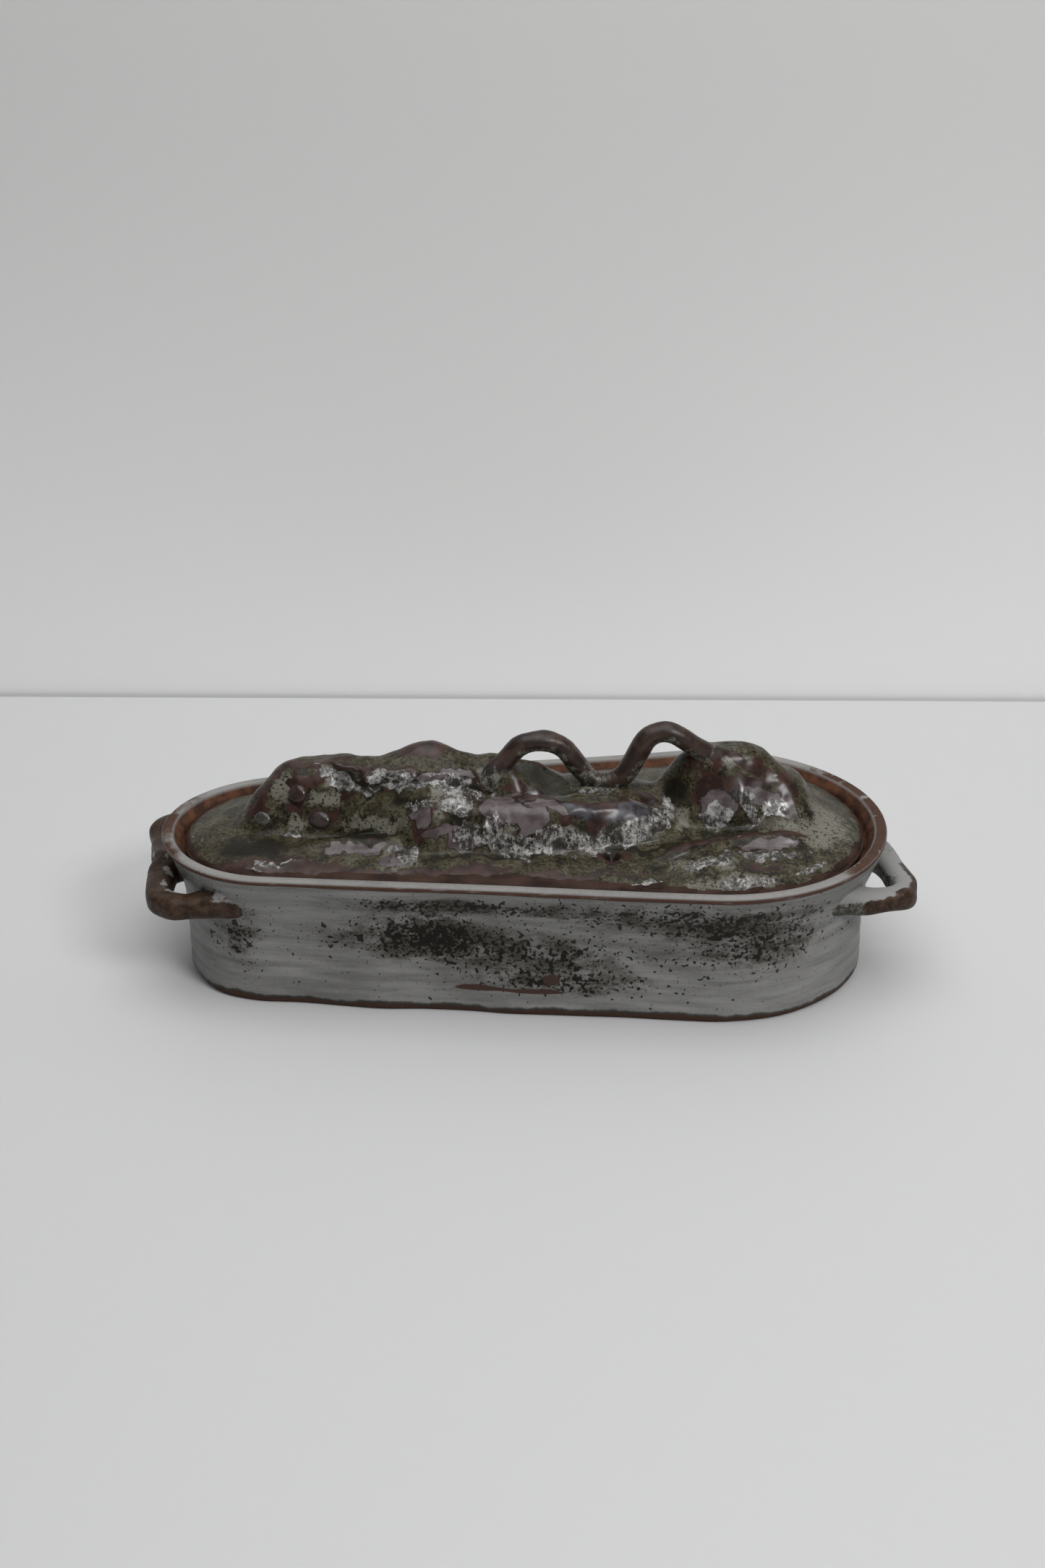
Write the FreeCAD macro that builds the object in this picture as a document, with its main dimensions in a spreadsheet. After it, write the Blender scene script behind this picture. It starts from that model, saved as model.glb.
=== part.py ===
# Oval stoneware game casserole: a hand-built dish with looped end handles, and a lid that carries
# a modelled animal under a rolled coil handle. Millimetres, +Z up, origin on the table under the
# middle of the rim, +X towards the broad end.
import FreeCAD, Part
import Sketcher
import math
import os

V = FreeCAD.Vector
doc = FreeCAD.newDocument("casserole")
sheet = doc.addObject("Spreadsheet::Sheet", "sizes")


# Lengths in millimetres. Insets of the dish run inwards from the outer line of the rim, insets of
# the lid from its own edge, the animal's ends from the ends of the rim, those of the cavity from
# the animal's own ends, and heights start at the table.
SIZES = {
    "rim_length": 411,
    "left_radius": 68.5,
    "right_radius": 97,
    "rim_height": 84.5,
    "rim_bead": 5.2,
    "foot_inset": 12.5,
    "foot_chamfer": 1.5,
    "flare_height": 40,
    "flare_inset": 10.6,
    "flare_middle": 58,
    "neck_inset": 3.4,
    "neck_height": 75.5,
    "lip_inset": 0.9,
    "lip_height": 77,
    "gallery_inset": 11.5,
    "ledge_height": 74,
    "ledge_inset": 19,
    "bore_inset": 20.5,
    "floor_thickness": 9,
    "cove_radius": 12,
    "floor_lap": 6,
    "strap_width": 12,
    "strap_depth": 13.5,
    "strap_chamfer": 3.2,
    "strap_height": 59.5,
    "lid_clearance": 1.5,
    "lid_edge": 6.5,
    "lid_round": 2.8,
    "lid_flat": 3.9,
    "dome_inset_a": 15,
    "dome_rise_a": 4.3,
    "dome_inset_b": 38,
    "dome_rise_b": 8,
    "hollow_inset": 17,
    "hollow_slope": 6,
    "hollow_rise": 6,
    "cavity_end": 28,
    "cavity_width": 34,
    "cavity_height": 20,
    "cavity_ridge_end": 53,
    "cavity_ridge_width": 12,
    "vent_x": 46,
    "vent_y": -50,
    "vent_diameter": 8,
    "facet_length": 9,
    "facet_width": 6.5,
    "animal_left": 39.5,
    "animal_right": 35.5,
    "animal_front": 58,
    "animal_back": 46,
    "animal_margin": 8,
    "animal_sink": 3,
    "animal_base": 0.5,
    "pellet_height": 2.5,
    "pellet_root": 4,
    "pellet_bevel": 1.8,
    "pellet_turn": 24,
    "pellet_lean": 64,
    "coil_diameter": 12.2,
    "coil_place": 0.633,
    "coil_y": -2,
    "coil_bend_b": 19,
    "coil_bend_c": 14,
    "coil_bend_d": 13.4,
}

# Corners of the centre line of the coil handle: from its lowest corner along X, and above the
# ledge. That corner stands at the coil's place, a share of the animal's length from its left end.
COIL = {
    "coil_a": (-73.7, 33),
    "coil_b": (-36, 72),
    "coil_c": (0, 18),
    "coil_d": (26.3, 73.3),
    "coil_e": (61.8, 45.6),
}

# Swellings of the modelled animal: middle along the animal as a share of its length, middle
# across, half length at half height as such a share, half width there, and rise.
SWELLINGS = {
    "head": (0.152, 3, 0.098, 20, 38),
    "back": (0.33, 2, 0.202, 18, 37.5),
    "shoulder": (0.33, 0, 0.101, 17, 47),
    "withers": (0.482, 2, 0.089, 20, 34),
    "chest": (0.304, -13, 0.14, 11, 36),
    "belly": (0.351, -24, 0.065, 15, 28),
    "saddle": (0.607, 2, 0.155, 25, 23),
    "roll": (0.533, -27, 0.19, 15, 26.5),
    "haunch": (0.83, 5, 0.107, 20, 42.5),
    "rump": (0.92, 7, 0.06, 22, 27),
    "foreleg": (0.232, -32, 0.101, 7, 8),
    "hindleg": (0.768, -46, 0.077, 5.5, 8),
    "hock": (0.893, -37, 0.071, 6, 9),
}
# Degrees each swelling is turned in plan, and how full its sides are: 2 is a hill, 5 a steep lump.
TURNS = {"roll": 2, "foreleg": 3, "hindleg": 24, "hock": 3}
FULLNESS = {"back": 5, "chest": 5, "roll": 5, "shoulder": 2.3, "withers": 3, "rump": 3, "foreleg": 3,
            "hindleg": 3, "hock": 3}

# Pellets pressed flat on the near side of the head: middle of the face they lie on, measured from
# the middle of the head and above the ledge, and radius.
PELLETS = {
    "nose": (-0.4, -19.7, 23.3, 5.6),
    "eye": (-12.3, -12.7, 37.1, 5),
    "chin": (-30.8, -11.5, 21.1, 4.8),
}

# End-handle straps: four corners of the centre line in plan, each as its distance in from the end
# of the rim and its y, then the two bend radii.
STRAPS = {
    "left_front": (15.5, 2, -1, -6, -1, -52, 45.5, -45, 14, 15),
    "left_rear": (15.5, -4, -0.5, 2, -10.3, 55, 45.5, 50, 14, 13),
    "right_front": (15.5, 2, -0.5, -5, -10.5, -54, 45.5, -56, 14, 15),
    "right_rear": (21.5, -2, 5.5, 3, 4.5, 58, 47.5, 66, 12, 14),
}


def tabulate(name, value):
    """One spreadsheet row for one named size."""
    row = len(rows) + 1
    rows.append(name)
    sheet.set("A%d" % row, name)
    sheet.set("B%d" % row, str(value))
    sheet.setAlias("B%d" % row, name)


rows = []
for name, value in SIZES.items():
    tabulate(name, value)
for table, fields in (
    (COIL, ("x", "z")),
    (SWELLINGS, ("share", "y", "reach", "half", "rise")),
    (PELLETS, ("px", "py", "pz", "radius")),
    (STRAPS, ("ax", "ay", "bx", "by", "cx", "cy", "dx", "dy", "bend_b", "bend_c")),
):
    for name, values in table.items():
        for field, value in zip(fields, values):
            tabulate(name + "_" + field, value)
for name in SWELLINGS:
    tabulate(name + "_turn", TURNS.get(name, 0))
    tabulate(name + "_full", FULLNESS.get(name, 4))
doc.recompute()


def get(name):
    return float(getattr(sheet, name))


def plane(body, role):
    return [f for f in body.Origin.OriginFeatures if f.Role == role][0]


def sketch_on(body, name, role):
    sketch = body.newObject("Sketcher::SketchObject", name)
    sketch.AttachmentSupport = [(plane(body, role), "")]
    sketch.MapMode = "FlatFace"
    return sketch


def bind(sketch, constraint, expression):
    index = sketch.addConstraint(constraint)
    sketch.setExpression("Constraints[%d]" % index, expression)


def plan_outline(body, name, inset, height):
    """The tapered oval, a given inset inside the outer line of the rim."""
    sketch = sketch_on(body, name, "XY_Plane")
    sketch.setExpression("AttachmentOffset.Base.z", height)
    gap = sheet.evalExpression(inset)
    r1 = get("left_radius") - gap
    r2 = get("right_radius") - gap
    c1 = get("left_radius") - get("rim_length") / 2
    c2 = get("rim_length") / 2 - get("right_radius")
    tilt = math.asin((r2 - r1) / (c2 - c1))
    left, right, up = V(c1, 0, 0), V(c2, 0, 0), V(0, 0, 1)
    fall = V(-math.sin(tilt), -math.cos(tilt), 0)
    lower_left, lower_right = left + fall * r1, right + fall * r2
    upper_left = V(lower_left.x, -lower_left.y, 0)
    upper_right = V(lower_right.x, -lower_right.y, 0)
    low, high = 1.5 * math.pi - tilt, 0.5 * math.pi + tilt
    sketch.addGeometry([
        Part.ArcOfCircle(Part.Circle(left, up, r1), math.pi, low),
        Part.LineSegment(lower_left, lower_right),
        Part.ArcOfCircle(Part.Circle(right, up, r2), low, high + 2 * math.pi),
        Part.LineSegment(upper_right, upper_left),
        Part.ArcOfCircle(Part.Circle(left, up, r1), high, math.pi),
    ], False)
    for edge in range(5):
        sketch.addConstraint(Sketcher.Constraint("Tangent", edge, 2, (edge + 1) % 5, 1))
    for edge, point in ((0, 3), (0, 1), (2, 3)):
        sketch.addConstraint(Sketcher.Constraint("PointOnObject", edge, point, -1))
    bind(sketch, Sketcher.Constraint("Radius", 0, r1), "sizes.left_radius - (%s)" % inset)
    bind(sketch, Sketcher.Constraint("Radius", 2, r2), "sizes.right_radius - (%s)" % inset)
    bind(sketch, Sketcher.Constraint("DistanceX", 0, 3, -1, 1, -c1),
         "sizes.rim_length / 2 - sizes.left_radius")
    bind(sketch, Sketcher.Constraint("DistanceX", -1, 1, 2, 3, c2),
         "sizes.rim_length / 2 - sizes.right_radius")
    return sketch


def pad(body, name, sketch, length):
    feature = body.newObject("PartDesign::Pad", name)
    feature.Profile = sketch
    feature.setExpression("Length", length)
    return feature


def section_sketch(body, name, corners):
    """Closed section of straight runs in the XZ plane, drawn from the left end of the rim."""
    sketch = sketch_on(body, name, "XZ_Plane")
    sketch.setExpression("AttachmentOffset.Base.x", "-sizes.rim_length / 2")
    points = [V(sheet.evalExpression(x), sheet.evalExpression(z), 0) for x, z in corners]
    for start, end in zip(points, points[1:] + points[:1]):
        sketch.addGeometry(Part.LineSegment(start, end), False)
    for i, (x, z) in enumerate(corners):
        before = i - 1 if i else len(corners) - 1
        sketch.addConstraint(Sketcher.Constraint("Coincident", before, 2, i, 1))
        bind(sketch, Sketcher.Constraint("DistanceX", -1, 1, i, 1, points[i].x), x)
        if z == "0":
            sketch.addConstraint(Sketcher.Constraint("PointOnObject", i, 1, -1))
        else:
            bind(sketch, Sketcher.Constraint("DistanceY", -1, 1, i, 1, points[i].y), z)
    return sketch


def carried_round(body, name, path, section):
    pipe = body.newObject("PartDesign::AdditivePipe", name)
    pipe.Profile = section
    pipe.Spine = (path, ["Edge%d" % (i + 1) for i in range(5)])
    return pipe


def on_arc(centre, radius, angle):
    """A corner of a rounding that is cut as flats, as expressions of its centre and radius."""
    x, z = centre
    return "%s + %s * cos(%d)" % (x, radius, angle), "%s + %s * sin(%d)" % (z, radius, angle)


def bent_wire(points, bends):
    """Straight runs between the points, with a tangent arc of the given radius at each corner."""
    edges, last = [], points[0]
    for i, bend in enumerate(bends):
        before, corner, after = points[i:i + 3]
        back = (before - corner).normalize()
        ahead = (after - corner).normalize()
        half = back.getAngle(ahead) / 2
        cut = bend / math.tan(half)
        middle = (back + ahead).normalize()
        crown = corner + middle * (bend / math.sin(half) - bend)
        entry, leave = corner + back * cut, corner + ahead * cut
        edges += [Part.makeLine(last, entry), Part.Arc(entry, crown, leave).toShape()]
        last = leave
    return Part.Wire(edges + [Part.makeLine(last, points[-1])])


def swept(section, path):
    return path.makePipeShell([section], True, False)


def strap_shape(name):
    """A strap of chamfered rectangular section, carried round its loop beside the wall."""
    end = 1 if name.startswith("right") else -1
    corners = []
    for c in "abcd":
        x = end * (get("rim_length") / 2 - get(name + "_%sx" % c))
        corners.append(V(x, get(name + "_%sy" % c), get("strap_height")))
    path = bent_wire(corners, [get(name + "_bend_b"), get(name + "_bend_c")])
    run = (corners[1] - corners[0]).normalize()
    side, up = V(-run.y, run.x, 0), V(0, 0, 1)
    half, rise, cut = get("strap_width") / 2, get("strap_depth") / 2, get("strap_chamfer")
    outline = [(half, rise - cut), (half - cut, rise), (cut - half, rise), (-half, rise - cut),
               (-half, cut - rise), (cut - half, -rise), (half - cut, -rise), (half, cut - rise)]
    ring = [corners[0] + side * across + up * height for across, height in outline]
    return swept(Part.makePolygon(ring + ring[:1]), path)


def animal_span():
    """The x of the animal's left end, and its length."""
    left = get("animal_left") - get("rim_length") / 2
    return left, get("rim_length") / 2 - get("animal_right") - left


def lump_height(name, x, y):
    """rise * 0.5 ** (r ** full), r the distance from the middle in half sizes along its own axes."""
    left, length = animal_span()
    turn = math.radians(get(name + "_turn"))
    dx, dy = x - left - get(name + "_share") * length, y - get(name + "_y")
    along = (dx * math.cos(turn) + dy * math.sin(turn)) / (get(name + "_reach") * length)
    across = (dy * math.cos(turn) - dx * math.sin(turn)) / get(name + "_half")
    radius = math.hypot(along, across)
    return get(name + "_rise") * 0.5 ** (radius ** get(name + "_full"))


def plan_inset(x, y):
    """How far a point lies inside the lid's outline."""
    r1, r2 = get("left_radius"), get("right_radius")
    c1 = r1 - get("rim_length") / 2
    c2 = get("rim_length") / 2 - r2
    slope = (r2 - r1) / (c2 - c1)
    tilt = math.asin(slope)
    along = (x - c1 + abs(y) * math.tan(tilt)) / (c2 - c1)
    share = min(max(along, 0), 1)
    reach = r1 + (r2 - r1) * share - math.hypot(x - c1 - share * (c2 - c1), y)
    return reach - get("gallery_inset") - get("lid_clearance")


def dome_height(x, y):
    """Height of the plate's top, straight between the corners of its section."""
    inset = plan_inset(x, y)
    rings = [(get("lid_round"), 0)] + [(get("dome_inset_" + k), get("dome_rise_" + k)) for k in "ab"]
    rise = -get("animal_sink")
    for (near, low), (far, high) in zip(rings, rings[1:]):
        if inset > near:
            rise = low + (high - low) * min((inset - near) / (far - near), 1)
    return get("ledge_height") + get("lid_edge") + rise


def relief_height(x, y):
    """The swellings of the animal blended over the plate, let into it by the sink."""
    swell = sum(lump_height(name, x, y) ** 6 for name in SWELLINGS) ** (1 / 6)
    return dome_height(x, y) + swell - get("animal_sink")


def face(*points):
    return Part.Face(Part.makePolygon(list(points) + [points[0]]))


def plate_half_width(x, inset):
    """Half the width of the plate at x, a given inset inside its edge."""
    gap = get("gallery_inset") + get("lid_clearance") + inset
    r1, r2 = get("left_radius") - gap, get("right_radius") - gap
    c1 = get("left_radius") - get("rim_length") / 2
    c2 = get("rim_length") / 2 - get("right_radius")
    if x < c1:
        return math.sqrt(r1 ** 2 - (x - c1) ** 2)
    if x > c2:
        return math.sqrt(r2 ** 2 - (x - c2) ** 2)
    return r1 + (r2 - r1) * (x - c1) / (c2 - c1)


def animal_block():
    """A block whose top is faceted over the height of the animal at each corner of a grid."""
    left, length = animal_span()
    columns = round(length / get("facet_length"))
    rows = round((get("animal_front") + get("animal_back")) / get("facet_width"))
    base = get("ledge_height") + get("hollow_rise") + get("animal_base")
    top = []
    for i in range(columns + 1):
        x = left + length * i / columns
        reach = plate_half_width(x, get("animal_margin"))
        front, back = -min(reach, get("animal_front")), min(reach, get("animal_back"))
        ys = [front + (back - front) * j / rows for j in range(rows + 1)]
        top.append([V(x, y, max(relief_height(x, y), base + get("animal_base"))) for y in ys])
    faces = []
    for i in range(columns):
        for j in range(rows):
            a, b, c, d = top[i][j], top[i + 1][j], top[i + 1][j + 1], top[i][j + 1]
            if abs(a.z - c.z) <= abs(b.z - d.z):
                faces += [face(a, b, c), face(a, c, d)]
            else:
                faces += [face(a, b, d), face(b, c, d)]
    edge = [column[0] for column in top] + top[-1][1:]
    edge += [column[-1] for column in reversed(top[:-1])] + top[0][-2:0:-1]
    feet = [V(point.x, point.y, base) for point in edge]
    for i, foot in enumerate(feet):
        faces.append(face(edge[i - 1], feet[i - 1], foot, edge[i]))
    faces.append(face(*feet))
    skin = Part.makeCompound(faces)
    skin.sewShape()
    block = Part.Solid(skin.Shells[0])
    return block if block.Volume > 0 else block.reversed()


def feature(name, shape):
    item = doc.addObject("Part::Feature", name)
    item.Shape = shape
    return item


def cut(name, base, tool):
    item = doc.addObject("Part::Cut", name)
    item.Base, item.Tool = base, tool
    return item


def fuse(name, shapes):
    item = doc.addObject("Part::MultiFuse", name)
    item.Shapes = shapes
    return item


# Dish: wall carried round the plan on its floor, with two looped straps at each end.
bead = ("sizes.rim_bead", "sizes.rim_height - sizes.rim_bead * sin(60)")
cove = ("sizes.bore_inset + sizes.cove_radius", "sizes.floor_thickness + sizes.cove_radius")
lap = "sizes.bore_inset + sizes.cove_radius + sizes.floor_lap"
wall_corners = [
    (lap, "0"),
    ("sizes.foot_inset + sizes.foot_chamfer", "0"),
    ("sizes.foot_inset", "sizes.foot_chamfer"),
    ("sizes.foot_inset", "sizes.flare_height"),
    ("sizes.flare_inset", "sizes.flare_middle"),
    ("sizes.neck_inset", "sizes.neck_height"),
    ("sizes.lip_inset", "sizes.lip_height"),
    on_arc(bead, "sizes.rim_bead", 180),
    on_arc(bead, "sizes.rim_bead", 120),
    on_arc(bead, "sizes.rim_bead", 60),
    on_arc(bead, "sizes.rim_bead", 0),
    ("sizes.gallery_inset", "sizes.ledge_height"),
    ("sizes.ledge_inset", "sizes.ledge_height"),
    on_arc(cove, "sizes.cove_radius", 180),
    on_arc(cove, "sizes.cove_radius", 270),
    (lap, "sizes.floor_thickness"),
]
shell = doc.addObject("PartDesign::Body", "dish_shell")
rim_path = plan_outline(shell, "rim_path", "0", "0")
wall = carried_round(shell, "wall", rim_path, section_sketch(shell, "wall_section", wall_corners))
floor_line = plan_outline(shell, "floor_line", cove[0], "0")
floor = pad(shell, "floor", floor_line, "sizes.floor_thickness")
doc.recompute()
straps = [feature(name, strap_shape(name)) for name in STRAPS]
dish = fuse("dish", [shell] + straps)

# Lid plate lying on the ledge of the gallery: edge, dome and hollow underside in one section.
edge = "sizes.gallery_inset + sizes.lid_clearance"
under = "sizes.ledge_height + sizes.hollow_rise"
table = "sizes.ledge_height + sizes.lid_edge"
plate_corners = [
    (edge, "sizes.ledge_height"),
    (edge, "sizes.ledge_height + sizes.lid_flat"),
    (edge + " + sizes.lid_round * 0.3", table + " - sizes.lid_round * 0.3"),
    (edge + " + sizes.lid_round", table),
    (edge + " + sizes.dome_inset_a", table + " + sizes.dome_rise_a"),
    (edge + " + sizes.dome_inset_b", table + " + sizes.dome_rise_b"),
    (edge + " + sizes.dome_inset_b", under),
    (edge + " + sizes.hollow_inset + sizes.hollow_slope", under),
    (edge + " + sizes.hollow_inset", "sizes.ledge_height"),
]
plate = doc.addObject("PartDesign::Body", "lid_plate")
plate_path = plan_outline(plate, "plate_path", "0", "0")
ring = carried_round(plate, "ring", plate_path, section_sketch(plate, "plate_section", plate_corners))
crown_line = plan_outline(plate, "crown_line", edge + " + sizes.dome_inset_b", under)
crown = pad(plate, "crown", crown_line, "sizes.lid_edge + sizes.dome_rise_b - sizes.hollow_rise")

# The animal, the coil over it, the pellets on its head, and what is open below and through it.
animal = feature("animal", animal_block())
cavity = doc.addObject("Part::Wedge", "cavity")
for corner, width, gap in (("", "cavity_width", "cavity_end"),
                           ("2", "cavity_ridge_width", "cavity_ridge_end")):
    half_rim = "sizes.rim_length / 2"
    cavity.setExpression("X%smin" % corner, "sizes.animal_left + sizes.%s - %s" % (gap, half_rim))
    cavity.setExpression("X%smax" % corner, "%s - sizes.animal_right - sizes.%s" % (half_rim, gap))
    cavity.setExpression("Z%smin" % corner, "-sizes.%s / 2" % width)
    cavity.setExpression("Z%smax" % corner, "sizes.%s / 2" % width)
cavity.Ymin = 0
cavity.setExpression("Ymax", "sizes.cavity_height")
cavity.Placement = FreeCAD.Placement(V(0, 0, 0), FreeCAD.Rotation(V(1, 0, 0), 90))
cavity.setExpression("Placement.Base.z", under + " - sizes.hollow_rise / 4")
left, length = animal_span()
low_x = left + length * get("coil_place")
coil_points = []
for name in COIL:
    coil_points.append(V(low_x + get(name + "_x"), get("coil_y"), get("ledge_height") + get(name + "_z")))
coil_path = bent_wire(coil_points, [get("coil_bend_%s" % c) for c in "bcd"])
start = (coil_points[1] - coil_points[0]).normalize()
side, rise = V(0, get("coil_diameter") / 2, 0), start.cross(V(0, get("coil_diameter") / 2, 0))
angles = [math.radians(45 * k + 22.5) for k in range(9)]
rolled = Part.makePolygon([coil_points[0] + side * math.cos(a) + rise * math.sin(a) for a in angles])
coil = feature("coil", swept(rolled, coil_path))
pellets = []
turned = FreeCAD.Rotation(V(0, 0, 1), -get("pellet_turn"))
leaning = turned * FreeCAD.Rotation(V(1, 0, 0), get("pellet_lean"))
head_middle = V(left + length * get("head_share"), 0, get("ledge_height"))
for name in PELLETS:
    pellet = doc.addObject("Part::Cone", name)
    pellet.setExpression("Radius1", "sizes.%s_radius" % name)
    pellet.setExpression("Radius2", "sizes.%s_radius - sizes.pellet_bevel" % name)
    pellet.setExpression("Height", "sizes.pellet_root + sizes.pellet_height")
    middle = head_middle + V(get(name + "_px"), get(name + "_py"), get(name + "_pz"))
    outward = leaning.multVec(V(0, 0, 1))
    pellet.Placement = FreeCAD.Placement(middle - outward * get("pellet_root"), leaning)
    pellets.append(pellet)
vent = doc.addObject("Part::Cylinder", "vent")
vent.setExpression("Radius", "sizes.vent_diameter / 2")
vent.setExpression("Height", "sizes.rim_height")
vent.setExpression("Placement.Base.x", "sizes.vent_x")
vent.setExpression("Placement.Base.y", "sizes.vent_y")
vent.setExpression("Placement.Base.z", "sizes.ledge_height / 2")

solid_lid = fuse("solid_lid", [plate, animal, coil] + pellets)
lid = cut("lid", solid_lid, fuse("lid_openings", [cavity, vent]))

doc.recompute()
for item in doc.Objects:
    if "Invalid" in item.State or "Error" in item.State:
        raise RuntimeError("%s did not build: %s" % (item.Label, item.State))
os.makedirs("parts", exist_ok=True)
for item in (dish, lid):
    if item.Shape.isNull() or not item.Shape.isValid():
        raise RuntimeError("%s has no valid shape" % item.Label)
    print(item.Label, len(item.Shape.Solids), "solid", round(item.Shape.Volume / 1000), "cm3")
    item.Shape.exportStep("parts/%s.step" % item.Label)
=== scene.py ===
import math
import bpy
import numpy as np
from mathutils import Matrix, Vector


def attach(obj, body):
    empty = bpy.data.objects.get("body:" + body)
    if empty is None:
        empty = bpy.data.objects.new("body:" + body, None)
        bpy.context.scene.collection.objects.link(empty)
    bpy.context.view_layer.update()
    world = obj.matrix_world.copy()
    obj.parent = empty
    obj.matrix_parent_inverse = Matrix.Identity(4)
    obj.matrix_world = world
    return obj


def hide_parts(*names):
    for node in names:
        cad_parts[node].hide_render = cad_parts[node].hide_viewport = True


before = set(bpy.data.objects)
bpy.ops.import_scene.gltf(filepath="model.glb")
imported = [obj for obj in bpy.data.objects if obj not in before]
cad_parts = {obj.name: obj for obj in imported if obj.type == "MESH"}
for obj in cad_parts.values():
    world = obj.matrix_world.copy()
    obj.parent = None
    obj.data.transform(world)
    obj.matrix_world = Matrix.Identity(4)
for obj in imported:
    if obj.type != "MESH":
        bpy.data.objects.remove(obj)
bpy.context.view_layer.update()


# Dish: a hand-built stoneware trough, tapered oval in plan, with a thick flared wall, a rim bead and
# a ledge inside for the lid. Grey glaze lies over brown clay, which is bare at the foot and the lip.
MILLIMETRE = 0.001
# Centre x and radius of the two arcs that end the rim's outline.
NARROW_END = (-137.0, 68.5)
BROAD_END = (108.5, 97.0)
DISH_ROUND = 800
# The wall's section as (inset from the rim's outline, height): up the outside and over the rim to the
# ledge, then down the inside to the floor.
OUTSIDE = [
    (20, 0), (14.5, 0), (12.5, 4), (12.4, 40), (10.6, 58), (3.4, 76), (2.0, 80.6), (0.5, 81.2),
    (0.4, 83.6), (2.2, 84.6), (6.6, 84.4), (10.4, 79), (11.4, 74), (19, 74), (19.6, 70),
]
OUTSIDE_BENDS = [2, 3, 60, 20, 5, 0.8, 0.6, 1.2, 1.6, 2.2, 4, 1.4, 1.4]
OUTSIDE_ROWS = 96
INSIDE = [(19.7, 69.5), (20.5, 21), (32.5, 9), (36, 9)]
INSIDE_BENDS = [9, 8]
INSIDE_ROWS = 15
BASE_ROWS = 5
FLOOR_ROWS = 6
# Unevenness that the hands left in the wall: stretch of the pattern, its length, seed and depth.
DENTS = [
    ((1, 1, 0.35), 110, 3, 0.5),
    ((1, 1, 0.35), 38, 4, 0.22),
    ((0.25, 0.25, 1), 9, 5, 0.13),
    ((0.12, 0.12, 1), 4.5, 6, 0.07),
]
# The rim is thicker for a stretch on the far side of its broad end.
BULGE = 2.6
BULGE_Y = 22
BULGE_HALF = 15


def oval(count):
    """Centre x, radius and outward normal at even steps round the rim.

    A rim point is (centre + radius * normal). The two end arcs are joined by common tangents, whose
    normals lean by asin((r2 - r1) / (c2 - c1)), and centre and radius run linearly along them.
    """
    (c1, r1), (c2, r2) = NARROW_END, BROAD_END
    tilt = math.asin((r2 - r1) / (c2 - c1))
    run = math.sqrt((c2 - c1) ** 2 - (r2 - r1) ** 2)
    quarter = math.pi / 2 - tilt
    spans = [r1 * quarter, run, r2 * (math.pi + 2 * tilt), run, r1 * quarter]
    stops = np.concatenate([[0], np.cumsum(spans)])
    way = np.arange(count) / count * stops[-1]
    share = [np.clip((way - a) / (b - a), 0, 1) for a, b in zip(stops, stops[1:])]
    angle = math.pi + quarter * (share[0] + share[4]) + (math.pi + 2 * tilt) * share[2]
    across = share[1] - share[3]
    return c1 + (c2 - c1) * across, r1 + (r2 - r1) * across, np.cos(angle), np.sin(angle)


def rounded(corners, radii, count, arc_points=9):
    """Evenly spaced points along a line whose corners are arcs.

    At a corner with half angle h an arc of radius q starts and ends q / tan(h) from the corner, about
    a centre q / sin(h) along the bisector.
    """
    corners = np.array(corners, float)
    path = [corners[0]]
    for before, corner, after, radius in zip(corners, corners[1:], corners[2:], radii):
        back = (before - corner) / np.linalg.norm(before - corner)
        ahead = (after - corner) / np.linalg.norm(after - corner)
        half = math.acos(np.clip(back @ ahead, -1, 1)) / 2
        middle = (back + ahead) / np.linalg.norm(back + ahead)
        centre = corner + middle * radius / math.sin(half)
        last = ahead - middle * math.cos(half)
        last = last / np.linalg.norm(last)
        for turn in np.linspace(-1, 1, arc_points) * (math.pi / 2 - half):
            path.append(centre - radius * (middle * math.cos(turn) - last * math.sin(turn)))
    path = np.array(path + [corners[-1]])
    length = np.concatenate([[0], np.cumsum(np.linalg.norm(np.diff(path, axis=0), axis=1))])
    steps = np.linspace(0, length[-1], count)
    return np.stack([np.interp(steps, length, path[:, i]) for i in range(path.shape[1])], -1)


def ripple(points, length, seed, waves=18):
    """Smooth noise of unit spread: the sum of cos(k . p + phase), with 2 pi / |k| near the length."""
    chance = np.random.default_rng(seed)
    k = chance.normal(size=(waves, 3))
    k *= (2 * math.pi / length * chance.uniform(0.7, 1.4, waves) / np.linalg.norm(k, axis=1))[:, None]
    phase = chance.uniform(0, 2 * math.pi, waves)
    return sum(np.cos(points @ a + b) for a, b in zip(k, phase)) / math.sqrt(waves / 2)


def smooth(low, high, value):
    """3 t^2 - 2 t^3, with t the value's place between low and high, held to 0..1."""
    t = np.clip((value - low) / (high - low), 0, 1)
    return t * t * (3 - 2 * t)


def shell_of(insets, heights, count):
    """Grid of a section carried round the oval: centre + (radius - inset) * normal, at each height."""
    centre, radius, nx, ny = oval(count)
    reach = np.maximum(radius - insets, 0)
    x = centre + reach * nx
    y = reach * ny
    return np.stack([x, y, np.broadcast_to(heights, x.shape)], -1)


def set_out(name, data):
    """A new object of the scene, at the origin and unturned."""
    made = bpy.data.objects.new(name, data)
    bpy.context.scene.collection.objects.link(made)
    return made


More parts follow.
